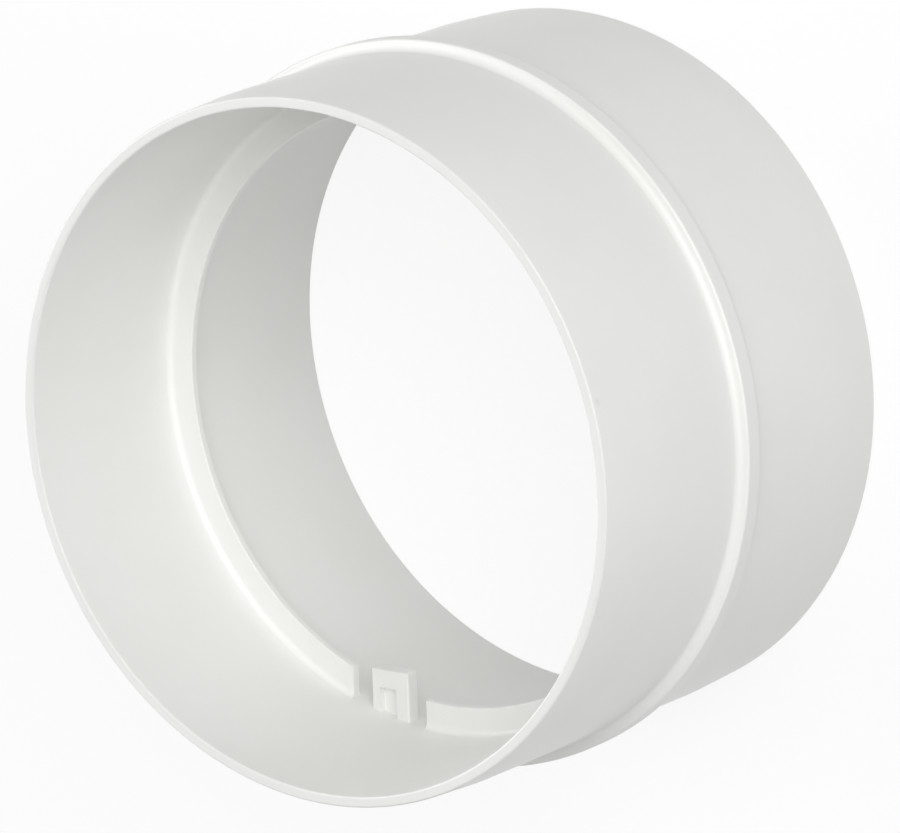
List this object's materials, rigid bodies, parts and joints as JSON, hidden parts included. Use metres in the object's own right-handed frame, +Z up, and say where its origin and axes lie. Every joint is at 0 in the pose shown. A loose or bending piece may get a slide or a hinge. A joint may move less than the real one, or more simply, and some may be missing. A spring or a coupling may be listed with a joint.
{
  "type": "duct connector",
  "caption": "Short round duct connector: plain spigots on both sides of a stop rib, with a thin seat ring and a small clip inside the bore.",
  "frame": {"origin": "centre of the lower rim, on the bore axis, where the part stands", "axes": "+Z up along the bore axis towards the end that the seat ring faces; the clip is on the -Y side"},
  "size_m": [0.102, 0.102, 0.063],
  "materials": {
    "white_plastic": "satin, as moulded"
  },
  "bodies": {
    "root": {"connector_body": "white_plastic"}
  },
  "joints": []
}
